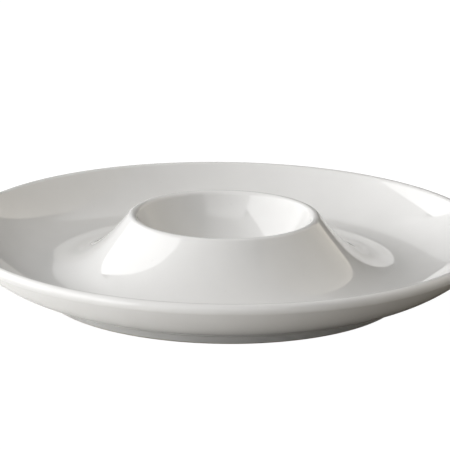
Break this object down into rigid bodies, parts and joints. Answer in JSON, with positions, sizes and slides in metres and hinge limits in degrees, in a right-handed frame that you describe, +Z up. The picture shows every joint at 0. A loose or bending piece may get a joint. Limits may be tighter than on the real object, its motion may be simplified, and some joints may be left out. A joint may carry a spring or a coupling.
{
  "type": "egg saucer",
  "caption": "Round glazed porcelain saucer with a raised cone-shaped egg cup in its middle, a flared wall with a rounded lip and a low foot ring.",
  "frame": {"origin": "centre of the foot ring's standing plane, on the saucer's axis", "axes": "+Z up along the saucer's axis, out of the egg cup's mouth; the object is round, so +X and +Y are any two level directions"},
  "size_m": [0.14, 0.14, 0.0205],
  "materials": {
    "glaze": "gloss",
    "bare_porcelain": "matte"
  },
  "bodies": {
    "root": {"saucer_lip": "glaze", "saucer_wall": "glaze", "saucer_floor": "glaze", "foot_ring": "glaze", "foot_edge": "bare_porcelain", "cup_cone": "glaze", "cup_rim": "glaze", "egg_bowl": "glaze"}
  },
  "joints": []
}
